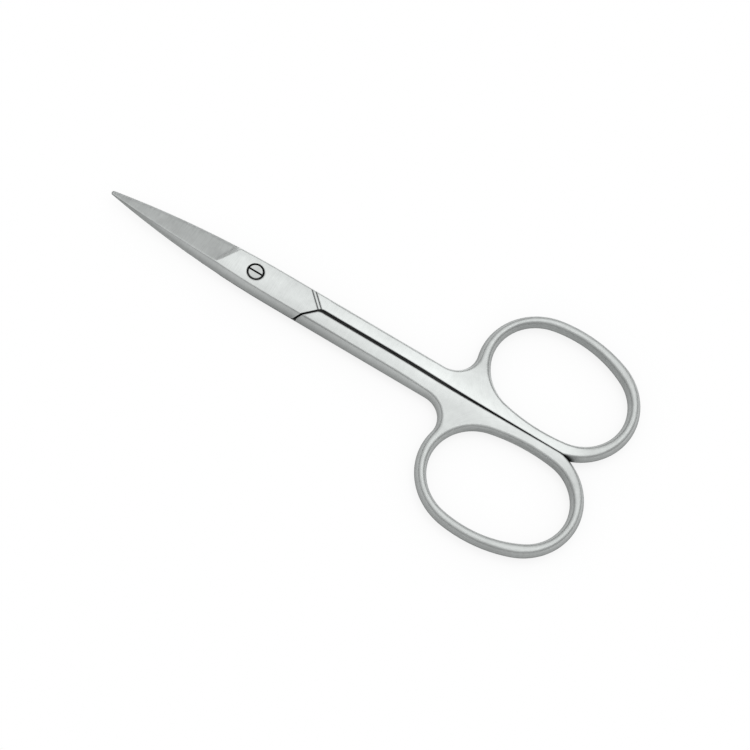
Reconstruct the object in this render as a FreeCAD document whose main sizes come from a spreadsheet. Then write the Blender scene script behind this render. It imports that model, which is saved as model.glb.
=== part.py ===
import FreeCAD, Part
import math
import os
import re
import Sketcher

# Cuticle scissors: two forged halves that turn on one slotted screw.
# Each half is drawn about the screw axis, with X towards the finger rings, Y towards its own ring
# and Z outwards from the parting plane. The rear half is the same forging turned over about X.

DOC = FreeCAD.newDocument("cuticle_scissors")
SHEET = DOC.addObject("Spreadsheet::Sheet", "Sizes")

# Driving sizes in millimetres and degrees, each with what it measures
SIZES = (
    ("thickness", 3.2, "both layers together at the joint"),
    ("ride_gap", 0.04, "running gap between the two inner faces"),
    ("half_width", 3.22, "half the width of joint and shanks at the parting plane"),
    ("side_slope", 29.5, "lean of the outer sides from the vertical, degrees"),
    ("tip_reach", 26.1, "screw axis to blade tip"),
    ("tip_half_width", 0.38, "half the blade width just behind the tip"),
    ("tip_radius", 0.45, "rounding of the tip in plan"),
    ("blade_arc_start", 4.0, "screw axis to where the curved blade sides begin"),
    ("facet_angle", 18.5, "slope of the ground facet from the cutting edge, degrees"),
    ("runout_edge", 4.3, "screw axis to the end of the facet at the cutting edge"),
    ("runout_spine", 8.0, "screw axis to the end of the facet at the spine"),
    ("runout_radius", 0.7, "hollow left by the wheel at the end of the facet"),
    ("shoulder_start", 8.6, "screw axis to the foot of the shoulder"),
    ("shoulder_end", 11.9, "screw axis to the head of the shoulder"),
    ("shoulder_radius", 1.3, "rounding of the shoulder at its head"),
    ("shoulder_foot_radius", 0.9, "rounding of the shoulder at its foot"),
    ("shoulder_gap", 0.28, "clearance between a shoulder and the shank that faces it"),
    ("gap_width", 0.55, "slit between the closed shanks"),
    ("gap_taper_start", 33.0, "screw axis to where the slit begins to narrow"),
    ("meeting_gap", 0.12, "slit left where the closed rings meet"),
    ("handle_start", 7.0, "screw axis to the hidden root of the shank in the joint"),
    ("root_centre_reach", 47.0, "screw axis to the ring's near end centre, along X"),
    ("root_centre_rise", 10.1, "parting line to the ring's near end centre"),
    ("ring_spread", 6.4, "near end centre to far end centre of the ring, along X"),
    ("ring_overlap", 0.9, "how far the forged ring reaches past the parting line, before it is ground"),
    ("root_radius", 10.7, "outer radius of the ring's near end"),
    ("end_radius", 10.5, "outer radius of the ring's far end, before its meeting flat is ground"),
    ("crown_radius", 22.6, "outer radius of the ring's long outer side"),
    ("opening_near_shift", 0.65, "opening's near end centre before the ring's, along X"),
    ("opening_near_lift", 0.5, "opening's near end centre above the ring's"),
    ("opening_near_inset", 2.85, "near end radius of the opening less than the ring's"),
    ("opening_far_shift", 0.95, "opening's far end centre beyond the ring's, along X"),
    ("opening_far_lift", 0.2, "opening's far end centre above the ring's"),
    ("opening_far_inset", 3.1, "far end radius of the opening less than the ring's"),
    ("opening_crown_inset", 3.6, "long outer radius of the opening less than the ring's"),
    ("opening_side_radius", 29.0, "radius of the opening's side along the slit"),
    ("ring_thickness", 2.3, "thickness of the ring's bar"),
    ("thinning_start", 25.0, "screw axis to where the shank begins to thin"),
    ("thinning_end", 40.0, "screw axis to where the ring's thickness is reached"),
    ("crotch_radius", 3.7, "hollow between shank and ring"),
    ("edge_softening", 0.3, "rounding of the outer edges of ring, shank and joint"),
    ("opening_bevel", 0.18, "bevel along the edges of the finger opening"),
    ("sharp_corner", 15.0, "least turn between two faces that counts as an edge, degrees"),
    ("touching", 0.001, "places nearer than this count as one"),
    ("groove_width", 0.16, "width of each engraved line"),
    ("groove_depth", 0.1, "depth of each engraved line"),
    ("groove_pitch", 0.52, "distance between the two engraved lines"),
    ("groove_reach", 11.2, "screw axis to the foot of the first engraved line"),
    ("groove_lean", 45.0, "angle of the engraved lines from X, degrees"),
    ("recess_diameter", 2.85, "recess round the screw head"),
    ("recess_depth", 0.62, "depth of that recess"),
    ("head_diameter", 2.4, "screw head"),
    ("head_bevel", 0.1, "bevel round the flat of the head"),
    ("head_sink", 0.06, "rim of the head below the outer face"),
    ("slot_width", 0.24, "driver slot"),
    ("slot_depth", 0.34, "driver slot"),
    ("neck_diameter", 1.7, "plain neck that the front half turns on"),
    ("thread_diameter", 1.4, "threaded end, over the crests"),
    ("running_fit", 0.04, "radial clearance of the neck, and under the head"),
    ("thread_fit", 0.02, "radial clearance of the threaded end"),
    ("end_sink", 0.1, "end of the screw below the rear face"),
    ("end_chamfer", 0.15, "lead on the end of the screw"),
    ("overrun", 1.5, "how far cuts run past the stock"),
)
ALIASES = {name for name, size, note in SIZES}


def fill_sheet():
    """Write each driving size to a row: name, value with its alias, and note."""
    for row, (name, size, note) in enumerate(SIZES, start=1):
        SHEET.set(f"A{row}", name)
        SHEET.set(f"B{row}", str(size))
        SHEET.setAlias(f"B{row}", name)
        SHEET.set(f"C{row}", note)
    DOC.recompute()


def spell(text):
    """Return an expression with each alias written as a cell of the sheet."""
    return re.sub(r"[a-z_]+", lambda word: f"Sizes.{word[0]}" if word[0] in ALIASES else word[0], text)


def value(text):
    """Return what an expression in aliases comes to, as a plain number."""
    result = SHEET.evalExpression(spell(text))
    return float(getattr(result, "Value", result))


def bind(item, **settings):
    """Bind properties of an object to expressions in aliases."""
    for name, text in settings.items():
        item.setExpression(name, spell(text))


# Sizes that follow from the driving ones, as expressions
HALF_THICKNESS = "thickness / 2"
INNER_FACE = "ride_gap / 2"
LAYER = "(thickness - ride_gap) / 2"
WALL = "gap_width / 2"
STOCK = "(half_width + overrun)"
SHOULDER_LEAN = "atan2(half_width + gap_width / 2; shoulder_end - shoulder_start)"
SHOULDER_SHIFT = f"(shoulder_gap / sin({SHOULDER_LEAN}))"
TIP_RUN = "(tip_reach + blade_arc_start)"
TIP_DROP = "(half_width - tip_half_width)"
BLADE_RADIUS = f"(({TIP_RUN} ^ 2 + {TIP_DROP} ^ 2) / (2 * {TIP_DROP}))"
BLADE_SWEEP = f"asin(({TIP_RUN} + overrun) / {BLADE_RADIUS})"
END_CENTRE_REACH = "(root_centre_reach + ring_spread)"
END_CENTRE_RISE = "(end_radius - ring_overlap)"
OPENING_NEAR = ("root_centre_reach - opening_near_shift", "root_centre_rise + opening_near_lift")
OPENING_FAR = (f"{END_CENTRE_REACH} + opening_far_shift", f"{END_CENTRE_RISE} + opening_far_lift")
EDGE_LOSS = "edge_softening * (1 / cos(side_slope) - 1)"
RING_HALF = "ring_thickness / 2"
CUT_TOP = "(thickness / 2 + overrun)"
SLOPE_RUN = f"{CUT_TOP} * tan(side_slope)"
FACET_RUN = f"{CUT_TOP} / tan(facet_angle)"


def sketch_on(body, name, plane, lift="0"):
    """Return a new sketch on one of the body's own planes, raised along the plane's normal."""
    sketch = body.newObject("Sketcher::SketchObject", name)
    support = next(item for item in body.Origin.OriginFeatures if item.Role == plane)
    sketch.AttachmentSupport = [(support, "")]
    sketch.MapMode = "FlatFace"
    sketch.setExpression("AttachmentOffset.Base.z", spell(lift))
    return sketch


def hold(sketch, kind, *target, text):
    """Add a dimension to a sketch and bind it to an expression."""
    index = sketch.addConstraint(Sketcher.Constraint(kind, *target, value(text)))
    sketch.setExpression(f"Constraints[{index}]", spell(text))


def pin(sketch, item, point, place):
    """Hold a point of a sketch at a place given as two expressions."""
    hold(sketch, "DistanceX", -1, 1, item, point, text=place[0])
    hold(sketch, "DistanceY", -1, 1, item, point, text=place[1])


def spot(place):
    """Return a place given as two expressions as a vector."""
    return FreeCAD.Vector(value(place[0]), value(place[1]), 0)


def polygon(sketch, corners):
    """Draw a closed polygon whose corners are each held by two expressions."""
    first = sketch.GeometryCount
    spots = [spot(corner) for corner in corners]
    for index, start in enumerate(spots):
        sketch.addGeometry(Part.LineSegment(start, spots[(index + 1) % len(spots)]))
    for index, corner in enumerate(corners):
        following = first + (index + 1) % len(corners)
        sketch.addConstraint(Sketcher.Constraint("Coincident", first + index, 2, following, 1))
        pin(sketch, first + index, 1, corner)


def disc(sketch, diameter):
    """Draw a circle about the screw axis."""
    circle = Part.Circle(FreeCAD.Vector(), FreeCAD.Vector(0, 0, 1), value(diameter) / 2)
    index = sketch.addGeometry(circle)
    sketch.addConstraint(Sketcher.Constraint("Coincident", index, 3, -1, 1))
    hold(sketch, "Diameter", index, text=diameter)


def arc(centre, radius, start, end):
    """Return a counter-clockwise arc about a centre between two points."""
    angles = [math.atan2(point.y - centre.y, point.x - centre.x) for point in (start, end)]
    return Part.ArcOfCircle(Part.Circle(centre, FreeCAD.Vector(0, 0, 1), radius), *angles)


def smooth_chain(sketch, pieces):
    """Draw lines and arcs end to end; pieces are (geometry, reversed, tangent to the next one)."""
    first = sketch.GeometryCount
    for geometry, backward, tangent in pieces:
        sketch.addGeometry(geometry)
    for index, (geometry, backward, tangent) in enumerate(pieces):
        following = (index + 1) % len(pieces)
        near = 1 if backward else 2
        far = 2 if pieces[following][1] else 1
        kind = "Tangent" if tangent else "Coincident"
        sketch.addConstraint(Sketcher.Constraint(kind, first + index, near, first + following, far))
    return first


def meet(centre_a, reach_a, centre_b, reach_b):
    """Return the point at two distances from two centres, on the right of the line a to b."""
    along = centre_b - centre_a
    span = along.Length
    forward = (span ** 2 + reach_a ** 2 - reach_b ** 2) / (2 * span)
    aside = math.sqrt(reach_a ** 2 - forward ** 2)
    along.normalize()
    return centre_a + along * forward + FreeCAD.Vector(along.y, -along.x, 0) * aside


def towards(start, end, distance):
    """Return the point at a distance from start on the line to end."""
    return start + (end - start).normalize() * distance


def draw_ring_opening(sketch):
    """Draw the finger opening: two end arcs, the long outer arc and a flatter arc along the slit."""
    near = spot(OPENING_NEAR)
    far = spot(OPENING_FAR)
    near_radius = value("root_radius - opening_near_inset")
    far_radius = value("end_radius - opening_far_inset")
    crown = value("crown_radius - opening_crown_inset")
    side = value("opening_side_radius")
    crown_centre = meet(near, crown - near_radius, far, crown - far_radius)
    side_centre = meet(far, side - far_radius, near, side - near_radius)
    low_near = towards(side_centre, near, side)
    low_far = towards(side_centre, far, side)
    high_far = towards(crown_centre, far, crown)
    high_near = towards(crown_centre, near, crown)
    first = smooth_chain(sketch, (
        (arc(side_centre, side, low_near, low_far), False, True),
        (arc(far, far_radius, low_far, high_far), False, True),
        (arc(crown_centre, crown, high_far, high_near), False, True),
        (arc(near, near_radius, high_near, low_near), False, True),
    ))
    pin(sketch, first + 1, 3, OPENING_FAR)
    pin(sketch, first + 3, 3, OPENING_NEAR)
    hold(sketch, "Radius", first, text="opening_side_radius")
    hold(sketch, "Radius", first + 1, text="end_radius - opening_far_inset")
    hold(sketch, "Radius", first + 2, text="crown_radius - opening_crown_inset")
    hold(sketch, "Radius", first + 3, text="root_radius - opening_near_inset")


def draw_handle(sketch):
    """Draw the forged outline of shank and ring at the parting plane, before the slit is ground."""
    root = spot(("root_centre_reach", "root_centre_rise"))
    end = spot((END_CENTRE_REACH, END_CENTRE_RISE))
    low_root = spot(("handle_start", "-ring_overlap"))
    low_end = spot((END_CENTRE_REACH, "-ring_overlap"))
    side_root = spot(("handle_start", "half_width"))
    root_radius = value("root_radius")
    end_radius = value("end_radius")
    crown = value("crown_radius")
    crotch = value("crotch_radius")
    crown_centre = meet(root, crown - root_radius, end, crown - end_radius)
    high_end = towards(crown_centre, end, crown)
    high_root = towards(crown_centre, root, crown)
    crotch_rise = side_root.y + crotch
    crotch_offset = math.sqrt((root_radius + crotch) ** 2 - (crotch_rise - root.y) ** 2)
    crotch_centre = FreeCAD.Vector(root.x - crotch_offset, crotch_rise, 0)
    crotch_root = towards(root, crotch_centre, root_radius)
    crotch_side = FreeCAD.Vector(crotch_centre.x, side_root.y, 0)
    first = smooth_chain(sketch, (
        (Part.LineSegment(low_root, low_end), False, True),
        (arc(end, end_radius, low_end, high_end), False, True),
        (arc(crown_centre, crown, high_end, high_root), False, True),
        (arc(root, root_radius, high_root, crotch_root), False, True),
        (arc(crotch_centre, crotch, crotch_side, crotch_root), True, True),
        (Part.LineSegment(crotch_side, side_root), False, False),
        (Part.LineSegment(side_root, low_root), False, False),
    ))
    pin(sketch, first + 1, 3, (END_CENTRE_REACH, END_CENTRE_RISE))
    pin(sketch, first + 3, 3, ("root_centre_reach", "root_centre_rise"))
    pin(sketch, first + 6, 1, ("handle_start", "half_width"))
    for index in (0, 5):
        sketch.addConstraint(Sketcher.Constraint("Horizontal", first + index))
    sketch.addConstraint(Sketcher.Constraint("Vertical", first + 6))
    hold(sketch, "Radius", first + 1, text="end_radius")
    hold(sketch, "Radius", first + 2, text="crown_radius")
    hold(sketch, "Radius", first + 3, text="root_radius")
    hold(sketch, "Radius", first + 4, text="crotch_radius")


def feature(body, kind, name, sketch, **settings):
    """Add a sketch-based feature to a body, with its sizes bound to expressions."""
    item = body.newObject(f"PartDesign::{kind}", name)
    item.Profile = sketch
    bind(item, **settings)
    return item


def lean_both_ways(item, angle):
    """Let a pad or pocket run from the parting plane to both faces, with leaning sides."""
    item.SideType = "Two sides"
    bind(item, Length=HALF_THICKNESS, Length2=HALF_THICKNESS, TaperAngle=angle, TaperAngle2=angle)


def add_blade_stock(body):
    """Pad the flat blank of the blade, wider than the blade and rounded at the tip."""
    sketch = sketch_on(body, "blade_blank", "XY_Plane", INNER_FACE)
    flare = f"({STOCK} - tip_radius / sqrt(2))"
    nose = "(tip_radius * (1 - 1 / sqrt(2)) - tip_reach)"
    centre = spot(("tip_radius - tip_reach", "0"))
    upper = spot((nose, "tip_radius / sqrt(2)"))
    lower = spot((nose, "-tip_radius / sqrt(2)"))
    upper_out = spot((f"{nose} + {flare}", STOCK))
    lower_out = spot((f"{nose} + {flare}", f"-{STOCK}"))
    upper_back = spot(("blade_arc_start", STOCK))
    lower_back = spot(("blade_arc_start", f"-{STOCK}"))
    first = smooth_chain(sketch, (
        (arc(centre, value("tip_radius"), upper, lower), False, True),
        (Part.LineSegment(lower, lower_out), False, False),
        (Part.LineSegment(lower_out, lower_back), False, False),
        (Part.LineSegment(lower_back, upper_back), False, False),
        (Part.LineSegment(upper_back, upper_out), False, False),
        (Part.LineSegment(upper_out, upper), False, True),
    ))
    pin(sketch, first, 3, ("tip_radius - tip_reach", "0"))
    hold(sketch, "Radius", first, text="tip_radius")
    pin(sketch, first + 1, 2, (f"{nose} + {flare}", f"-{STOCK}"))
    pin(sketch, first + 2, 2, ("blade_arc_start", f"-{STOCK}"))
    pin(sketch, first + 3, 2, ("blade_arc_start", STOCK))
    pin(sketch, first + 4, 2, (f"{nose} + {flare}", STOCK))
    feature(body, "Pad", "blade_blank_pad", sketch, Length=LAYER)


def side_sketch(body, name, side):
    """Return a sketch across the blade's root, with the axis of the blade's arc on one side."""
    sketch = sketch_on(body, name, "YZ_Plane", "blade_arc_start")
    axis = f"{side} * (half_width - {BLADE_RADIUS})"
    ends = [spot((axis, "0")), spot((axis, HALF_THICKNESS))]
    line = sketch.addGeometry(Part.LineSegment(*ends[::side]), True)
    pin(sketch, line, 1 if side > 0 else 2, (axis, "0"))
    pin(sketch, line, 2 if side > 0 else 1, (axis, HALF_THICKNESS))
    return sketch


def draw_facet(body):
    """Draw what is ground off towards the cutting edge, as seen along the blade."""
    sketch = side_sketch(body, "facet", 1)
    polygon(sketch, (
        ("half_width", "0"),
        (f"half_width - {FACET_RUN}", CUT_TOP),
        (f"{STOCK} * 2", CUT_TOP),
        (f"{STOCK} * 2", "0"),
    ))
    return sketch


def draw_side_cut(body, name, side):
    """Draw what is ground off one leaning side, as seen along the blade, down to its rounded foot."""
    sketch = side_sketch(body, name, side)
    centre = (f"{side} * (half_width - {EDGE_LOSS} - edge_softening)", "0")
    foot = (f"{side} * (half_width - {EDGE_LOSS})", "0")
    lean = (f"{centre[0]} + {side} * edge_softening * cos(side_slope)", "edge_softening * sin(side_slope)")
    top = (f"{side} * (half_width - {SLOPE_RUN})", CUT_TOP)
    top_out = (f"{side} * {STOCK} * 2", CUT_TOP)
    foot_out = (f"{side} * {STOCK} * 2", "0")
    rounding = arc(spot(centre), value("edge_softening"), *[spot(foot), spot(lean)][::side])
    first = smooth_chain(sketch, (
        (rounding, side < 0, True),
        (Part.LineSegment(spot(lean), spot(top)), False, False),
        (Part.LineSegment(spot(top), spot(top_out)), False, False),
        (Part.LineSegment(spot(top_out), spot(foot_out)), False, False),
        (Part.LineSegment(spot(foot_out), spot(foot)), False, False),
    ))
    pin(sketch, first, 3, centre)
    hold(sketch, "Radius", first, text="edge_softening")
    sketch.addConstraint(Sketcher.Constraint("Horizontal", first, 1 if side > 0 else 2, first, 3))
    for index, place in enumerate((top, top_out, foot_out), start=2):
        pin(sketch, first + index, 1, place)
    return sketch


def grind(body, name, sketch):
    """Turn a side cut about the axis of the blade's arc, from the joint past the tip."""
    groove = feature(body, "Groove", name, sketch, Angle=BLADE_SWEEP)
    groove.ReferenceAxis = (sketch, ["Axis0"])
    return groove


def add_joint_block(body):
    """Pad the flat of the joint; its end towards the blade leans back as the wheel leaves it."""
    sketch = sketch_on(body, "joint_block", "XY_Plane", INNER_FACE)
    slant = "(runout_spine - runout_edge) / (2 * half_width)"
    polygon(sketch, (
        (f"-runout_spine - {slant} * overrun", f"-{STOCK}"),
        ("shoulder_end + overrun", f"-{STOCK}"),
        ("shoulder_end + overrun", STOCK),
        (f"-runout_edge + {slant} * overrun", STOCK),
    ))
    return feature(body, "Pad", "joint_block_pad", sketch, Length=LAYER, TaperAngle="-side_slope")


def cut_slit(body):
    """Grind the upright wall along the slit and the flat where the closed rings meet."""
    sketch = sketch_on(body, "slit", "XY_Plane")
    polygon(sketch, (
        ("handle_start - overrun", WALL),
        ("gap_taper_start", WALL),
        (END_CENTRE_REACH, "meeting_gap / 2"),
        (f"{END_CENTRE_REACH} + end_radius", "meeting_gap / 2"),
        (f"{END_CENTRE_REACH} + end_radius", "-ring_overlap - overrun"),
        ("handle_start - overrun", "-ring_overlap - overrun"),
    ))
    pocket = feature(body, "Pocket", "slit_cut", sketch, Length=f"2 * {CUT_TOP}")
    pocket.SideType = "Symmetric"


def thin(body):
    """Cut both faces right across, from the shank's thickness to the ring's in a long flat ogee."""
    sketch = sketch_on(body, "thinning", "XZ_Plane")
    far = f"{END_CENTRE_REACH} + end_radius + overrun"
    run = "(thinning_end - thinning_start)"
    drop = "(thickness - ring_thickness) / 2"
    radius = f"({run} ^ 2 + ({drop}) ^ 2) / (4 * {drop})"
    for side in (1, -1):
        high = ("thinning_start", f"{side} * {HALF_THICKNESS}")
        low = ("thinning_end", f"{side} * {RING_HALF}")
        high_centre = ("thinning_start", f"{side} * ({HALF_THICKNESS} - {radius})")
        low_centre = ("thinning_end", f"{side} * ({RING_HALF} + {radius})")
        middle = (spot(high) + spot(low)) / 2
        ring_end = (far, f"{side} * {RING_HALF}")
        above_end = (far, f"{side} * {CUT_TOP}")
        above_start = ("thinning_start", f"{side} * {CUT_TOP}")
        round_over = arc(spot(high_centre), value(radius), *[middle, spot(high)][::side])
        hollow = arc(spot(low_centre), value(radius), *[middle, spot(low)][::side])
        first = smooth_chain(sketch, (
            (round_over, side > 0, True),
            (hollow, side < 0, True),
            (Part.LineSegment(spot(low), spot(ring_end)), False, False),
            (Part.LineSegment(spot(ring_end), spot(above_end)), False, False),
            (Part.LineSegment(spot(above_end), spot(above_start)), False, False),
            (Part.LineSegment(spot(above_start), spot(high)), False, False),
        ))
        pin(sketch, first, 3, high_centre)
        hold(sketch, "Radius", first, text=radius)
        pin(sketch, first + 1, 3, low_centre)
        for index, place in enumerate((ring_end, above_end, above_start), start=3):
            pin(sketch, first + index, 1, place)
        sketch.addConstraint(Sketcher.Constraint("Vertical", first + 5))
    pocket = feature(body, "Pocket", "thinning_cut", sketch, Length="2 * (root_centre_rise + crown_radius)")
    pocket.SideType = "Symmetric"
    return pocket


def on_outside(place):
    """Say whether a place on the handle is neither at its hidden root nor on the side of the slit."""
    clear_of_slit = place.y > value("half_width / 2") or place.x > value(END_CENTRE_REACH)
    return place.x > value("shoulder_start") and clear_of_slit


def on_cut(place, cut):
    """Say whether a place lies on the surface that a cut has left."""
    return cut.AddSubShape.isInside(place, value("touching"), True)


def at_facet_end(place):
    """Say whether a place lies on the slanting line where the facet ends at the joint."""
    between_faces = value(f"{INNER_FACE} + touching") < place.z < value(f"{HALF_THICKNESS} - touching")
    return between_faces and abs(place.y) < value("half_width") and value("-runout_spine") < place.x < 0


def soften(body, kind, name, base, wanted):
    """Return a fillet or chamfer on the sharp edges of a feature's shape whose middles are wanted."""
    DOC.recompute()
    limit = math.radians(value("sharp_corner"))
    names = []
    for index, edge in enumerate(base.Shape.Edges, start=1):
        middle = edge.valueAt((edge.FirstParameter + edge.LastParameter) / 2)
        faces = base.Shape.ancestorsOfType(edge, Part.Face)
        normals = [face.normalAt(*face.Surface.parameter(middle)) for face in faces]
        if len(normals) == 2 and normals[0].getAngle(normals[1]) > limit and wanted(middle):
            names.append(f"Edge{index}")
    item = body.newObject(f"PartDesign::{kind}", name)
    item.Base = (base, names)
    return item


def corner(before, vertex, after, radius):
    """Return the two tangent points and the centre of a rounded corner."""
    back = (before - vertex).normalize()
    onward = (after - vertex).normalize()
    half_angle = back.getAngle(onward) / 2
    setback = radius / math.tan(half_angle)
    middle = (back + onward).normalize()
    centre = vertex + middle * (radius / math.sin(half_angle))
    return vertex + back * setback, vertex + onward * setback, centre


def cut_shoulder(body):
    """Cut the outer layer's end: a rounded foot, a leaning flank and a hollow head at the slit."""
    sketch = sketch_on(body, "shoulder", "XY_Plane", CUT_TOP)
    side_start = spot(("blade_arc_start", "-half_width"))
    foot = spot(("shoulder_start", "-half_width"))
    head = spot(("shoulder_end", WALL))
    wall_end = spot(("shoulder_end + shoulder_radius + overrun", WALL))
    foot_in, foot_out, foot_centre = corner(side_start, foot, head, value("shoulder_foot_radius"))
    head_in, head_out, head_centre = corner(foot, head, wall_end, value("shoulder_radius"))
    low_end = spot(("shoulder_end + shoulder_radius + overrun", f"-{STOCK}"))
    low_start = FreeCAD.Vector(foot_in.x, low_end.y, 0)
    first = smooth_chain(sketch, (
        (arc(foot_centre, value("shoulder_foot_radius"), foot_in, foot_out), False, True),
        (Part.LineSegment(foot_out, head_in), False, True),
        (arc(head_centre, value("shoulder_radius"), head_out, head_in), True, True),
        (Part.LineSegment(head_out, wall_end), False, False),
        (Part.LineSegment(wall_end, low_end), False, False),
        (Part.LineSegment(low_end, low_start), False, False),
        (Part.LineSegment(low_start, foot_in), False, False),
    ))
    foot_mark = sketch.addGeometry(Part.Point(foot), True)
    head_mark = sketch.addGeometry(Part.Point(head), True)
    pin(sketch, foot_mark, 1, ("shoulder_start", "-half_width"))
    pin(sketch, head_mark, 1, ("shoulder_end", WALL))
    for mark in (foot_mark, head_mark):
        sketch.addConstraint(Sketcher.Constraint("PointOnObject", mark, 1, first + 1))
    hold(sketch, "DistanceY", -1, 1, first, 1, text="-half_width")
    sketch.addConstraint(Sketcher.Constraint("Vertical", first, 1, first, 3))
    hold(sketch, "Radius", first, text="shoulder_foot_radius")
    hold(sketch, "Radius", first + 2, text="shoulder_radius")
    pin(sketch, first + 3, 2, ("shoulder_end + shoulder_radius + overrun", WALL))
    sketch.addConstraint(Sketcher.Constraint("Horizontal", first + 3))
    pin(sketch, first + 4, 2, ("shoulder_end + shoulder_radius + overrun", f"-{STOCK}"))
    sketch.addConstraint(Sketcher.Constraint("Horizontal", first + 5))
    sketch.addConstraint(Sketcher.Constraint("Vertical", first + 6))
    feature(body, "Pocket", "shoulder_cut", sketch, Length=f"{CUT_TOP} + overrun")


def cut_shank_end(body):
    """Cut the shank's inner layer back from the shoulder of the other half, square at its outer edge."""
    sketch = sketch_on(body, "shank_end", "XY_Plane", INNER_FACE)
    square_reach = f"shoulder_start + {SHOULDER_SHIFT} + edge_softening / tan({SHOULDER_LEAN})"
    beyond_place = (square_reach, STOCK)
    foot_place = (square_reach, "half_width - edge_softening")
    head_place = (f"shoulder_end - gap_width / tan({SHOULDER_LEAN}) + {SHOULDER_SHIFT}", WALL)
    beyond = spot(beyond_place)
    foot = spot(foot_place)
    head = spot(head_place)
    wall_end = head + FreeCAD.Vector(value("shoulder_end"), 0, 0)
    head_in, head_out, centre = corner(foot, head, wall_end, value("shoulder_radius"))
    floor = f"{WALL} - overrun"
    low_end = FreeCAD.Vector(head_out.x, value(floor), 0)
    low_start = spot(("handle_start - overrun", floor))
    high_start = FreeCAD.Vector(low_start.x, beyond.y, 0)
    first = smooth_chain(sketch, (
        (Part.LineSegment(beyond, foot), False, False),
        (Part.LineSegment(foot, head_in), False, True),
        (arc(centre, value("shoulder_radius"), head_in, head_out), False, False),
        (Part.LineSegment(head_out, low_end), False, False),
        (Part.LineSegment(low_end, low_start), False, False),
        (Part.LineSegment(low_start, high_start), False, False),
        (Part.LineSegment(high_start, beyond), False, False),
    ))
    head_mark = sketch.addGeometry(Part.Point(head), True)
    pin(sketch, head_mark, 1, head_place)
    sketch.addConstraint(Sketcher.Constraint("PointOnObject", head_mark, 1, first + 1))
    pin(sketch, first, 1, beyond_place)
    pin(sketch, first, 2, foot_place)
    hold(sketch, "Radius", first + 2, text="shoulder_radius")
    hold(sketch, "DistanceY", -1, 1, first + 2, 2, text=WALL)
    sketch.addConstraint(Sketcher.Constraint("Vertical", first + 2, 2, first + 2, 3))
    sketch.addConstraint(Sketcher.Constraint("Vertical", first + 3))
    sketch.addConstraint(Sketcher.Constraint("Horizontal", first + 4))
    pin(sketch, first + 5, 1, ("handle_start - overrun", floor))
    sketch.addConstraint(Sketcher.Constraint("Vertical", first + 5))
    sketch.addConstraint(Sketcher.Constraint("Horizontal", first + 6))
    feature(body, "Pocket", "shank_end_cut", sketch, Length=CUT_TOP)


def cut_hole(body, name, diameter, lift, depth):
    """Cut a round hole on the screw axis from a height downwards."""
    sketch = sketch_on(body, name, "XY_Plane", lift)
    disc(sketch, diameter)
    feature(body, "Pocket", f"{name}_cut", sketch, Length=depth)


def engrave(body):
    """Cut the two ornamental lines across the outer face, from the shoulder to the far edge."""
    sketch = sketch_on(body, "engraving", "XY_Plane", HALF_THICKNESS)
    breadth = "groove_width / sin(groove_lean)"
    for line in (0, 1):
        foot = f"groove_reach + {line} * groove_pitch / sin(groove_lean)"
        rise = f"(half_width + {WALL}) / tan(groove_lean)"
        polygon(sketch, (
            (f"{foot} + {WALL} / tan(groove_lean)", f"-{WALL}"),
            (f"{foot} + {WALL} / tan(groove_lean) + {breadth}", f"-{WALL}"),
            (f"{foot} + {WALL} / tan(groove_lean) + {breadth} - {rise}", "half_width"),
            (f"{foot} + {WALL} / tan(groove_lean) - {rise}", "half_width"),
        ))
    feature(body, "Pocket", "engraving_cut", sketch, Length="groove_depth")


def build_handle(body):
    """Model shank and ring: leaning sides, thinning, soft edges, the slit and the finger opening."""
    handle = sketch_on(body, "handle", "XY_Plane")
    draw_handle(handle)
    lean_both_ways(feature(body, "Pad", "handle_pad", handle), "-side_slope")
    softening = soften(body, "Fillet", "handle_softening", thin(body), on_outside)
    bind(softening, Radius="edge_softening")
    cut_slit(body)
    opening = sketch_on(body, "ring_opening", "XY_Plane")
    draw_ring_opening(opening)
    cut = feature(body, "Pocket", "ring_opening_cut", opening)
    lean_both_ways(cut, "side_slope")
    bevel = soften(body, "Chamfer", "opening_edge_bevel", cut, lambda place: on_cut(place, cut))
    bind(bevel, Size="opening_bevel")


def build_joint(body):
    """Model the outer layer: ground blade, flat of the joint and the shoulder at its end."""
    add_blade_stock(body)
    grind(body, "facet_cut", draw_facet(body))
    hollow = soften(body, "Fillet", "facet_end_hollow", add_joint_block(body), at_facet_end)
    bind(hollow, Radius="runout_radius")
    for side, word in ((1, "edge"), (-1, "spine")):
        sketch = draw_side_cut(body, f"{word}_side", side)
        grind(body, f"{word}_side_cut", sketch)
        pocket = feature(body, "Pocket", f"{word}_side_run", sketch)
        bind(pocket, Length="shoulder_end - blade_arc_start + overrun * 2")
        pocket.Reversed = True
    cut_shoulder(body)


def build_half(name):
    """Return a body with one forged half in its own frame."""
    body = DOC.addObject("PartDesign::Body", name)
    body.Label = name
    build_handle(body)
    cut_shank_end(body)
    build_joint(body)
    return body


def build_front():
    """Return the half nearest the viewer, with the screw's recess, bearing hole and engraving."""
    body = build_half("front_half")
    cut_hole(body, "recess", "recess_diameter", HALF_THICKNESS, "recess_depth")
    cut_hole(body, "bearing", "neck_diameter + 2 * running_fit", HALF_THICKNESS, "thickness")
    engrave(body)
    return body


def build_rear():
    """Return the half behind, with the tapped hole, turned over about X."""
    body = build_half("rear_half")
    cut_hole(body, "tapping", "thread_diameter + 2 * thread_fit", HALF_THICKNESS, "thickness")
    return body


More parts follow.
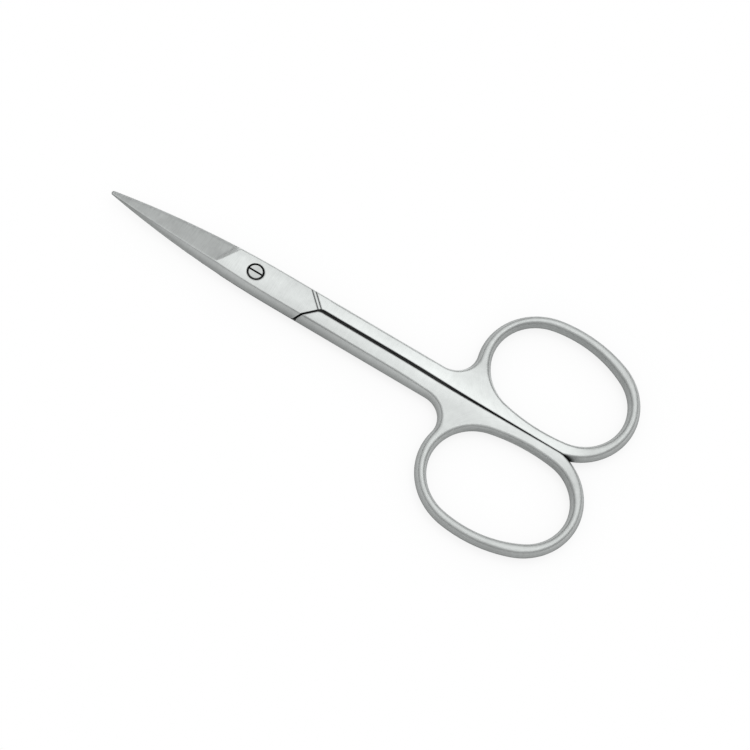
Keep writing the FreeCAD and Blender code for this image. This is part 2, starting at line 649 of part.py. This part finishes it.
def build_screw():
    """Return the screw: bevelled slotted head, plain neck that seats on the rear half, threaded end."""
    body = DOC.addObject("PartDesign::Body", "pivot_screw")
    body.Label = "pivot_screw"
    sketch = sketch_on(body, "turning", "XZ_Plane")
    rim = f"({HALF_THICKNESS} - head_sink)"
    bottom = f"(end_sink - {HALF_THICKNESS})"
    seat = f"{HALF_THICKNESS} - recess_depth + running_fit"
    polygon(sketch, (
        ("0", bottom),
        ("thread_diameter / 2 - end_chamfer", bottom),
        ("thread_diameter / 2", f"{bottom} + end_chamfer"),
        ("thread_diameter / 2", f"-{INNER_FACE}"),
        ("neck_diameter / 2", f"-{INNER_FACE}"),
        ("neck_diameter / 2", seat),
        ("head_diameter / 2", seat),
        ("head_diameter / 2", rim),
        ("head_diameter / 2 - head_bevel", f"{rim} + head_bevel"),
        ("0", f"{rim} + head_bevel"),
    ))
    turned = feature(body, "Revolution", "turned_blank", sketch)
    turned.ReferenceAxis = (sketch, ["V_Axis"])
    slot = sketch_on(body, "slot", "XY_Plane", f"{rim} + head_bevel")
    polygon(slot, (
        ("-head_diameter", "-slot_width / 2"),
        ("head_diameter", "-slot_width / 2"),
        ("head_diameter", "slot_width / 2"),
        ("-head_diameter", "slot_width / 2"),
    ))
    feature(body, "Pocket", "slot_cut", slot, Length="slot_depth + head_bevel")
    return body


def lay_flat(body, turned_over):
    """Lay a body on its flat outer face, with the middle of the whole length over the origin."""
    turn = FreeCAD.Rotation(FreeCAD.Vector(1, 0, 0), 180 if turned_over else 0)
    body.Placement = FreeCAD.Placement(FreeCAD.Vector(), turn)
    body.setExpression("Placement.Base.x", spell(f"(tip_reach - {END_CENTRE_REACH} - end_radius) / 2"))
    body.setExpression("Placement.Base.z", spell(HALF_THICKNESS))


def check(bodies):
    """Stop if any object of the document failed or a piece isn't one sound solid."""
    failed = [item.Name for item in DOC.Objects if {"Invalid", "Error"} & set(item.State)]
    loose = [item.Name for item in DOC.Objects
             if item.TypeId == "Sketcher::SketchObject" and not item.FullyConstrained]
    unsound = [body.Label for body in bodies
               if body.Shape.isNull() or not body.Shape.isValid() or len(body.Shape.Solids) != 1]
    if failed or loose or unsound:
        raise RuntimeError(f"failed {failed}, loose sketches {loose}, unsound pieces {unsound}")


def main():
    """Build the three pieces, check them and write one file for each."""
    fill_sheet()
    front, rear, screw = build_front(), build_rear(), build_screw()
    for body in (front, rear, screw):
        lay_flat(body, turned_over=body is rear)
    DOC.recompute()
    check((front, rear, screw))
    os.makedirs("parts", exist_ok=True)
    for body in (front, rear, screw):
        body.Shape.exportStep(f"parts/{body.Label}.step")
        print(f"{body.Label}: {body.Shape.Volume:.2f} mm3")


main()
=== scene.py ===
"""Looks of a pair of satin steel cuticle scissors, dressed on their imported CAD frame."""

import logging
import math
from dataclasses import dataclass
from enum import Enum
from typing import Any, Union

import bpy
from mathutils import Matrix, Vector


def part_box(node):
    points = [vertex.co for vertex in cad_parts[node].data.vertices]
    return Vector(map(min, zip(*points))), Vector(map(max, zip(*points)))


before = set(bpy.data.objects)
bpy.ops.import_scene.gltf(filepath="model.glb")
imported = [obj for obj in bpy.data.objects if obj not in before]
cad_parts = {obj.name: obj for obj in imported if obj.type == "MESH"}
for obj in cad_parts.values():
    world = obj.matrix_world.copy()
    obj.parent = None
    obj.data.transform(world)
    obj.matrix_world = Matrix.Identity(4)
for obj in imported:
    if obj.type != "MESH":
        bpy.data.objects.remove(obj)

LOG = logging.getLogger("scissors")
MM = 0.001
IMAGE_SIDE = 750
RAYS = 16
NOISE_MIDDLE = 0.5

# Sockets of the Mix node go by number, because their names repeat.
MIX_SHARE = 0
MIX_VECTORS, MIXED_VECTOR = (4, 5), 1
MIX_COLOURS, MIXED_COLOUR = (6, 7), 2

Number = Union[float, int]
Colour = tuple[float, float, float]

WHITE: Colour = (1.0, 1.0, 1.0)
STEEL: Colour = (0.965, 1.0, 0.985)
# Near-black that the painted shade of the steel runs down to.
SHADE_BLACK: Colour = (0.010, 0.011, 0.012)


class Ray(Enum):
    """Kinds of rays that see the floor or the sky as plain white."""

    CAMERA = "Is Camera Ray"
    GLOSSY = "Is Glossy Ray"
    TRANSMISSION = "Is Transmission Ray"


class Half(Enum):
    """The two forged halves, each a CAD node of its own."""

    FRONT = "front_half"
    REAR = "rear_half"


class Value:
    """A number that a node gives, with the operators of arithmetic as Math nodes."""

    def __init__(self, graph: "Graph", socket: bpy.types.NodeSocket) -> None:
        """Wrap a socket of a graph."""
        self.graph = graph
        self.socket = socket

    def _math(self, operation: str, first: Any, second: Any = None) -> "Value":
        """Add one Math node.

        Args:
            operation: The Math node's operation.
            first: First operand, a value or a number.
            second: Second operand, if the operation has one.

        Returns:
            The node's result.
        """
        inputs = {0: first} if second is None else {0: first, 1: second}
        return self.graph.value("ShaderNodeMath", {"operation": operation}, inputs)

    def __add__(self, other: "Value | Number") -> "Value":
        """Return the sum."""
        return self._math("ADD", self, other)

    __radd__ = __add__

    def __mul__(self, other: "Value | Number") -> "Value":
        """Return the product."""
        return self._math("MULTIPLY", self, other)

    __rmul__ = __mul__

    def __sub__(self, other: "Value | Number") -> "Value":
        """Return the difference."""
        return self._math("SUBTRACT", self, other)

    def __rsub__(self, other: Number) -> "Value":
        """Return the difference with the number first."""
        return self._math("SUBTRACT", other, self)

    def __truediv__(self, other: "Value | Number") -> "Value":
        """Return the quotient."""
        return self._math("DIVIDE", self, other)

    def __pow__(self, other: Number) -> "Value":
        """Return the power."""
        return self._math("POWER", self, other)

    def __abs__(self) -> "Value":
        """Return the absolute value."""
        return self._math("ABSOLUTE", self)

    def root(self) -> "Value":
        """Return the square root."""
        return self._math("SQRT", self)

    def turn_from(self, other: "Value") -> "Value":
        """Return the angle whose sine and cosine go as this value and the other."""
        return self._math("ARCTAN2", self, other)

    def most(self, other: "Value | Number") -> "Value":
        """Return the larger of two values."""
        return self._math("MAXIMUM", self, other)

    def step(self, low: float, high: float) -> "Value":
        """Return a soft step.

        Args:
            low: Where the step begins.
            high: Where the step is complete.

        Returns:
            0 up to low, 1 from high on, smooth in between.
        """
        return self.graph.value(
            "ShaderNodeMapRange",
            {"interpolation_type": "SMOOTHSTEP"},
            {"Value": self, "From Min": low, "From Max": high},
        )

    def band(self, low: float, inner_low: float, inner_high: float, high: float) -> "Value":
        """Return a soft band.

        Args:
            low: Where the band begins.
            inner_low: Where it is complete.
            inner_high: Where it begins to end.
            high: Where it has ended.

        Returns:
            1 inside the band, 0 outside it.
        """
        return self.step(low, inner_low) * (1 - self.step(inner_high, high))


class Graph:
    """The nodes of one material, light or world."""

    def __init__(self, tree: bpy.types.NodeTree) -> None:
        """Empty a node tree to build in."""
        self.tree = tree
        tree.nodes.clear()

    def node(self, kind: str, settings: dict[str, Any], inputs: dict[Any, Any]) -> bpy.types.Node:
        """Add a node.

        Args:
            kind: The node's type name.
            settings: Properties of the node, set before its sockets.
            inputs: Socket names or numbers with the values or links they take.

        Returns:
            The new node.
        """
        node = self.tree.nodes.new(kind)
        for name, setting in settings.items():
            setattr(node, name, setting)
        for key, given in inputs.items():
            socket = node.inputs[key]
            source = given.socket if isinstance(given, Value) else given
            if isinstance(source, bpy.types.NodeSocket):
                self.tree.links.new(source, socket)
            elif isinstance(source, tuple) and len(source) == 3 and socket.type == "RGBA":
                socket.default_value = (*source, 1.0)
            else:
                socket.default_value = source
        return node

    def value(self, kind: str, settings: dict[str, Any], inputs: dict[Any, Any], output: Any = 0) -> Value:
        """Add a node and wrap one of its outputs.

        Args:
            kind: The node's type name.
            settings: Properties of the node.
            inputs: Values or links of its sockets.
            output: Name or number of the output.

        Returns:
            The wrapped output.
        """
        return Value(self, self.node(kind, settings, inputs).outputs[output])

    def split(self, vector: bpy.types.NodeSocket) -> tuple[Value, Value, Value]:
        """Return the three parts of a vector."""
        parts = self.node("ShaderNodeSeparateXYZ", {}, {0: vector})
        return tuple(Value(self, parts.outputs[index]) for index in range(3))

    def join(self, x: Any, y: Any, z: Any) -> bpy.types.NodeSocket:
        """Return a vector made of three values."""
        return self.node("ShaderNodeCombineXYZ", {}, {0: x, 1: y, 2: z}).outputs[0]

    def noise(self, place: bpy.types.NodeSocket, detail: float, scale: float = 1.0) -> Value:
        """Return noise about zero.

        Args:
            place: Where it is read.
            detail: How many finer layers it has.
            scale: How fine it is.

        Returns:
            A value from about -0.5 to 0.5.
        """
        inputs = {"Vector": place, "Scale": scale, "Detail": detail}
        return self.value("ShaderNodeTexNoise", {}, inputs, "Fac") - NOISE_MIDDLE

    def mix(self, dark: Any, light: Any, share: "Value | float") -> bpy.types.NodeSocket:
        """Return a colour between two others.

        Args:
            dark: Colour at share 0.
            light: Colour at share 1.
            share: How much of the second one.

        Returns:
            The mixed colour's socket.
        """
        settings = {"data_type": "RGBA", "clamp_factor": True}
        low, high = MIX_COLOURS
        node = self.node("ShaderNodeMix", settings, {MIX_SHARE: share, low: dark, high: light})
        return node.outputs[MIXED_COLOUR]

    def blend(self, first: Any, second: Any, share: Value) -> bpy.types.NodeSocket:
        """Return a vector between two others.

        Args:
            first: Vector at share 0.
            second: Vector at share 1.
            share: How much of the second one.

        Returns:
            The mixed vector's socket.
        """
        low, high = MIX_VECTORS
        inputs = {MIX_SHARE: share, low: first, high: second}
        return self.node("ShaderNodeMix", {"data_type": "VECTOR"}, inputs).outputs[MIXED_VECTOR]

    def rounded(self, radius: float) -> bpy.types.NodeSocket:
        """Return the surface's normal in the world, with its edges rounded to a radius."""
        return self.node("ShaderNodeBevel", {"samples": RAYS}, {"Radius": radius}).outputs[0]

    def open_air(self, reach: float) -> Value:
        """Return how open the surroundings within a reach are, from 0 in a slit to 1 on a free face."""
        return self.value("ShaderNodeAmbientOcclusion", {"samples": RAYS}, {"Distance": reach}, "AO")

    def metal(self, colour: bpy.types.NodeSocket, rough: Value, grain: dict[str, Any]) -> None:
        """Finish a material as bare metal.

        Args:
            colour: The base colour.
            rough: The roughness.
            grain: Values or links of the bump's sockets.
        """
        surface = self.node("ShaderNodeBsdfPrincipled", {}, {
            "Base Color": colour,
            "Roughness": rough,
            "Metallic": 1.0,
            "Normal": self.node("ShaderNodeBump", {}, grain).outputs[0],
        })
        self.node("ShaderNodeOutputMaterial", {}, {"Surface": surface.outputs[0]})

    def either(self, rays: tuple[Ray, ...]) -> Value:
        """Tell some kinds of rays from the others.

        Args:
            rays: The kinds that count.

        Returns:
            1 for rays of any of these kinds, 0 for all others.
        """
        path = self.node("ShaderNodeLightPath", {}, {})
        found = [Value(self, path.outputs[ray.value]) for ray in rays]
        total = found[0]
        for ray in found[1:]:
            total = total.most(ray)
        return total


def new_material(name: str) -> tuple[bpy.types.Material, Graph]:
    """Make an empty material.

    Args:
        name: The material's name.

    Returns:
        The material and its nodes.
    """
    material = bpy.data.materials.new(name)
    material.use_nodes = True
    return material, Graph(material.node_tree)


@dataclass(frozen=True)
class Spot:
    """A spot on a forged half: its place, the part it belongs to and the lean of its surface.

    Attributes:
        x: Place along the scissors.
        y: Place across them.
        z: Height.
        bow: 1 on the bars of the rings, 0 on blade, joint and shank.
        away: The normal's part across the scissors, towards the front half's ring.
        upright: 1 on level faces, 0 on upright walls.
    """

    x: Value
    y: Value
    z: Value
    bow: Value
    away: Value
    upright: Value


@dataclass(frozen=True)
class SatinSteel:
    """Satin stainless steel: brushed faces, rougher ground sides painted darker as shade, painted shade in
    the joint lines.

    The tones are shares of the bright colour, and they are painted light and shade: set by how steep a
    surface is and where it lies, they give faces, facets, rounded edges and sides the brightness that the
    light gives them. Each pair or row named cosine gives the steepness of the surface, as the upright part
    of its normal, over which a kind of surface begins and ends. The front half's shank is lighter in tone
    than its joint, from the slanting ornament lines on.
    """

    name: str = "satin_steel"
    dark: Colour = SHADE_BLACK
    bright: Colour = STEEL
    face_tone: float = 0.65
    bow_shade_tone: float = 0.57
    facet_tone: float = 0.79
    side_shade_tone: float = 0.58
    foot_shade_tone: float = 0.36
    far_reflection_tone: float = 0.74
    edge_highlight_tone: float = 0.68
    face_shade: float = 0.11
    front_lift: float = 0.14
    rim_shade: float = 0.27
    streak_tone: float = 0.42
    cloud_tone: float = 0.34
    mottle_tone: float = 0.16
    flat_cosine: tuple[float, float] = (0.955, 0.995)
    side_cosine: tuple[float, float] = (0.50, 0.93)
    edge_cosine: tuple[float, float, float, float] = (0.56, 0.70, 0.84, 0.95)
    far_reflection_cosine: tuple[float, float] = (0.20, 0.60)
    face_roughness: float = 0.36
    side_roughness: float = 0.42
    streak_roughness: float = 0.16
    cloud_roughness: float = 0.05
    streak_pitch: float = 0.09 * MM
    streak_length: float = 2.6 * MM
    streak_detail: float = 3.0
    cloud_size: float = 8.0 * MM
    mottle_size: float = 1.0 * MM
    cloud_detail: float = 2.0
    grain_strength: float = 0.2
    grain_depth: float = 0.02 * MM
    crevice_shade_reach: float = 0.7 * MM
    crevice_shade_power: float = 3.0
    edge_radius: float = 0.32 * MM
    bar_radius: float = 0.80 * MM
    parting_height: float = 1.6 * MM
    face_reach: tuple[float, float] = (0.3 * MM, 3.0 * MM)
    front_side: tuple[float, float] = (-0.2 * MM, 0.2 * MM)
    front_start: tuple[float, float] = (-7.7 * MM, -6.8 * MM)
    foot_reach: tuple[float, float] = (0.15 * MM, 1.25 * MM)
    rim_reach: tuple[float, float] = (0.06 * MM, 0.34 * MM)
    rim_start: tuple[float, float] = (-34.0 * MM, -22.0 * MM)
    bow_rise: tuple[float, float] = (3.2 * MM, 7.5 * MM)
    bow_reach: tuple[float, float] = (37.0 * MM, 42.0 * MM)
    ring_centre: tuple[float, float] = (31.2 * MM, 10.2 * MM)
    ring_start: tuple[float, float] = (16.0 * MM, 21.0 * MM)

    def make(self) -> bpy.types.Material:
        """Build the material.

        Returns:
            The new material.
        """
        material, graph = new_material(self.name)
        place = graph.node("ShaderNodeTexCoord", {}, {}).outputs["Object"]
        x, y, z = graph.split(place)
        bow = abs(y).step(*self.bow_rise).most(x.step(*self.bow_reach))
        normal = graph.blend(graph.rounded(self.edge_radius), graph.rounded(self.bar_radius), bow)
        spaces = {"vector_type": "NORMAL", "convert_from": "WORLD", "convert_to": "OBJECT"}
        own = graph.split(graph.node("ShaderNodeVectorTransform", spaces, {0: normal}).outputs[0])
        spot = Spot(x, y, z, bow, own[1], abs(own[2]))
        steep = 1 - spot.upright.step(*self.side_cosine)
        streak = self._streak(graph, spot)
        cloud = graph.noise(place, self.cloud_detail, 1 / self.cloud_size)
        mottle = graph.noise(place, self.cloud_detail, 1 / self.mottle_size)
        uneven = streak * self.streak_tone + cloud * self.cloud_tone + mottle * self.mottle_tone
        tone = self._tone(spot, steep) * (1 + uneven)
        # Painted shade: the steel darkens where its surroundings close in, in the slits and joint lines.
        unshaded = graph.open_air(self.crevice_shade_reach) ** self.crevice_shade_power
        rough = self.face_roughness + steep * (self.side_roughness - self.face_roughness)
        grain = {
            "Strength": self.grain_strength,
            "Distance": self.grain_depth,
            "Height": streak,
            "Normal": normal,
        }
        graph.metal(
            graph.mix(self.dark, self.bright, tone * unshaded),
            rough + streak * self.streak_roughness + cloud * self.cloud_roughness,
            grain,
        )
        return material

    def _tone(self, spot: Spot, steep: Value) -> Value:
        """Return the tone of the ground and polished surfaces, with painted light and shade.

        Args:
            spot: The spot on the half.
            steep: 1 on the leaning sides.

        Returns:
            A share of the bright colour.
        """
        # Painted light and shade: the sides darker, darkest at their foot and in a dark rim line at the
        # parting height behind the blade; the far-facing sides lighter, a painted reflection of the floor;
        # the faces darker towards their outer edges; the ring bars darker on top; a painted highlight on
        # the rounded edges. The front half's shank is lighter in tone.
        height = abs(spot.z - self.parting_height)
        foot = 1 - height.step(*self.foot_reach)
        rim = (1 - height.step(*self.rim_reach)) * spot.x.step(*self.rim_start)
        far = spot.away.step(*self.far_reflection_cosine) * (1 - spot.bow)
        front = spot.y.step(*self.front_side) * (spot.x + spot.y).step(*self.front_start)
        face = self.face_tone * (1 - abs(spot.y).step(*self.face_reach) * self.face_shade)
        face = face * (1 + front * self.front_lift)
        face = face + spot.bow * (self.bow_shade_tone - face)
        side = (self.side_shade_tone + foot * (self.foot_shade_tone - self.side_shade_tone)) * (1 - rim * self.rim_shade)
        side = side + far * (self.far_reflection_tone - side)
        tone = self.facet_tone + spot.upright.step(*self.flat_cosine) * (face - self.facet_tone)
        tone = tone + steep * (side - self.facet_tone)
        return tone + spot.upright.band(*self.edge_cosine) * (self.edge_highlight_tone - self.facet_tone)

    def _streak(self, graph: Graph, spot: Spot) -> Value:
        """Return the brush marks: across the shanks and blades, and along the bars of the rings.

        Args:
            graph: The material's nodes.
            spot: The spot on the half.

        Returns:
            Noise about zero.
        """
        fine, coarse = 1 / self.streak_pitch, 1 / self.streak_length
        flat_marks = graph.join(spot.x * fine, spot.y * coarse, spot.z * coarse)
        across = graph.noise(flat_marks, self.streak_detail)
        run, rise = spot.x - self.ring_centre[0], abs(spot.y) - self.ring_centre[1]
        radius = (run * run + rise * rise).root()
        bend = rise.turn_from(run) * (self.ring_centre[1] * coarse)
        along = graph.noise(graph.join(radius * fine, bend, spot.z * fine), self.streak_detail)
        ring = spot.x.step(*self.ring_start)
        return across * (1 - ring) + along * ring


@dataclass(frozen=True)
class TurnedSteel:
    """Steel of the screw: fine turning rings about its axis, and painted shade in the slot."""

    name: str = "screw_steel"
    dark: Colour = SHADE_BLACK
    bright: Colour = STEEL
    tone: float = 0.52
    ring_tone: float = 0.4
    cloud_tone: float = 0.3
    roughness: float = 0.34
    ring_roughness: float = 0.15
    ring_pitch: float = 0.06 * MM
    cloud_size: float = 1.1 * MM
    detail: float = 2.0
    grain_strength: float = 0.2
    grain_depth: float = 0.01 * MM
    crevice_shade_reach: float = 0.45 * MM
    crevice_shade_power: float = 2.0
    slot_shade: tuple[float, float] = (0.13 * MM, 0.19 * MM)

    def make(self, axis_x: float) -> bpy.types.Material:
        """Build the material.

        Args:
            axis_x: Place of the screw's axis along the scissors.

        Returns:
            The new material.
        """
        material, graph = new_material(self.name)
        place = graph.node("ShaderNodeTexCoord", {}, {}).outputs["Object"]
        x, y, z = graph.split(place)
        run = x - axis_x
        radius = (run * run + y * y).root()
        turned = graph.join(radius / self.ring_pitch, 0.0, z / self.ring_pitch)
        rings = graph.noise(turned, self.detail)
        cloud = graph.noise(place, self.detail, 1 / self.cloud_size)
        # Painted shade: dark along the slot and where the steel around closes in.
        unshaded = abs(y).step(*self.slot_shade) * graph.open_air(self.crevice_shade_reach) ** self.crevice_shade_power
        tone = self.tone * (1 + rings * self.ring_tone + cloud * self.cloud_tone)
        graph.metal(
            graph.mix(self.dark, self.bright, tone * unshaded),
            self.roughness + rings * self.ring_roughness,
            {"Strength": self.grain_strength, "Distance": self.grain_depth, "Height": rings},
        )
        return material


@dataclass(frozen=True)
class WhiteFloor:
    """White studio floor: plain white, with the lit floor and its shadow close to the scissors."""

    name: str = "white_floor"
    lit: Colour = (0.86, 0.86, 0.86)
    plain: Colour = WHITE
    shadow_reach: float = 8.0 * MM
    shadow_share: float = 0.22

    def make(self) -> bpy.types.Material:
        """Build the material.

        Returns:
            The new material.
        """
        material, graph = new_material(self.name)
        lit = graph.node("ShaderNodeBsdfDiffuse", {}, {"Color": self.lit})
        plain = graph.node("ShaderNodeEmission", {}, {"Color": self.plain})
        # Painted shadow as well as the real one: close to the scissors, by how enclosed the floor is,
        # camera and glossy rays see the lit floor, which holds the real shadow, instead of plain white.
        near = (1 - graph.open_air(self.shadow_reach)) * self.shadow_share
        seen = graph.either((Ray.CAMERA, Ray.GLOSSY, Ray.TRANSMISSION)) * (1 - near)
        both = graph.node("ShaderNodeMixShader", {}, {0: seen, 1: lit.outputs[0], 2: plain.outputs[0]})
        graph.node("ShaderNodeOutputMaterial", {}, {"Surface": both.outputs[0]})
        return material


@dataclass
class ForgedHalf:
    """One forged half: blade, joint, shank and finger ring in a single piece of steel."""

    half: Half
    finish: bpy.types.Material

    def dress(self) -> bpy.types.Object:
        """Give the half its finish.

        Returns:
            The dressed CAD node.
        """
        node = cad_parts[self.half.value]
        node.data.materials.clear()
        node.data.materials.append(self.finish)
        return node


@dataclass
class PivotScrew:
    """The slotted screw that both halves turn on."""

    finish: TurnedSteel
    node_name: str = "pivot_screw"

    def dress(self) -> bpy.types.Object:
        """Give the screw its finish, turned about its own axis.

        Returns:
            The dressed CAD node.
        """
        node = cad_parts[self.node_name]
        low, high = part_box(self.node_name)
        node.data.materials.clear()
        node.data.materials.append(self.finish.make((low.x + high.x) / 2))
        return node


@dataclass
class Studio:
    """Floor, sky and one soft lamp."""

    floor_size: float = 8.0
    sky_low: float = 0.34
    sky_high: float = 0.62
    sky_rise: tuple[float, float] = (0.0, 0.95)
    plain: Colour = WHITE
    lamp_place: tuple[float, float, float] = (0.05, 0.30, 0.75)
    lamp_size: float = 0.70
    lamp_watts: float = 1.0

    def build(self) -> None:
        """Make the floor, the sky and the lamp."""
        self._floor()
        self._sky()
        self._lamp()

    def _floor(self) -> None:
        """Lay the floor that the scissors lie on."""
        bpy.ops.mesh.primitive_plane_add(size=self.floor_size, location=(0, 0, 0))
        floor = bpy.context.object
        floor.name = "studio_floor"
        floor.data.materials.append(WhiteFloor().make())

    def _sky(self) -> None:
        """Light the scene from a dome that is bright overhead and grey at the horizon."""
        world = bpy.data.worlds.new("studio_sky")
        world.use_nodes = True
        bpy.context.scene.world = world
        graph = Graph(world.node_tree)
        place = graph.node("ShaderNodeTexCoord", {}, {})
        height = graph.split(place.outputs["Generated"])[2]
        dome = graph.mix((self.sky_low,) * 3, (self.sky_high,) * 3, height.step(*self.sky_rise))
        lit = graph.node("ShaderNodeBackground", {}, {"Color": dome})
        plain = graph.node("ShaderNodeBackground", {}, {"Color": self.plain})
        seen = graph.either((Ray.CAMERA,))
        both = graph.node("ShaderNodeMixShader", {}, {0: seen, 1: lit.outputs[0], 2: plain.outputs[0]})
        graph.node("ShaderNodeOutputWorld", {}, {"Surface": both.outputs[0]})

    def _lamp(self) -> None:
        """Hang one large soft lamp over the scissors."""
        data = bpy.data.lights.new("soft_box", "AREA")
        data.shape = "DISK"
        data.size = self.lamp_size
        data.energy = self.lamp_watts
        lamp = bpy.data.objects.new("soft_box", data)
        lamp.location = self.lamp_place
        lamp.rotation_euler = (-Vector(self.lamp_place)).to_track_quat("-Z", "Y").to_euler()
        bpy.context.scene.collection.objects.link(lamp)


@dataclass
class PhotoCamera:
    """A long lens over the scissors, tilted towards the rear half's ring and rolled."""

    tilt: float = math.radians(25.51)
    swing: float = math.radians(3.53)
    roll: float = math.radians(30.53)
    distance: float = 781.2 * MM
    pixel: float = MM / 6.374
    mark: tuple[float, float, float] = (-18.9 * MM, 0.0, 3.2 * MM)
    mark_pixel: tuple[float, float] = (255.7, 271.6)
    far_clip: float = 20.0

    def build(self) -> bpy.types.Object:
        """Make the camera and use it.

        Returns:
            The camera.
        """
        back = Vector((
            math.sin(self.swing),
            -math.sin(self.tilt) * math.cos(self.swing),
            math.cos(self.tilt) * math.cos(self.swing),
        ))
        level = (Vector((1, 0, 0)) - back * back.x).normalized()
        rise = back.cross(level)
        right = level * math.cos(self.roll) + rise * math.sin(self.roll)
        up = rise * math.cos(self.roll) - level * math.sin(self.roll)
        middle = IMAGE_SIDE / 2
        aside = (middle - self.mark_pixel[0]) * self.pixel
        above = (self.mark_pixel[1] - middle) * self.pixel
        place = Vector(self.mark) + back * self.distance + right * aside + up * above
        data = bpy.data.cameras.new("photo_camera")
        data.lens = data.sensor_width * self.distance / (self.pixel * IMAGE_SIDE)
        data.clip_end = self.far_clip
        camera = bpy.data.objects.new("photo_camera", data)
        camera.matrix_world = Matrix((right, up, back)).transposed().to_4x4()
        camera.location = place
        bpy.context.scene.collection.objects.link(camera)
        bpy.context.scene.camera = camera
        return camera


def main() -> None:
    """Dress the halves and the screw, then set the stage."""
    logging.basicConfig(level=logging.INFO, format="%(name)s: %(message)s")
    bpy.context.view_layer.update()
    steel = SatinSteel().make()
    pieces = [ForgedHalf(half, steel).dress() for half in Half]
    pieces.append(PivotScrew(TurnedSteel()).dress())
    for piece in pieces:
        LOG.info("%s dressed in %s", piece.name, piece.data.materials[0].name)
    Studio().build()
    PhotoCamera().build()
    bpy.context.scene.view_settings.view_transform = "Standard"


if __name__ == "__main__":
    main()
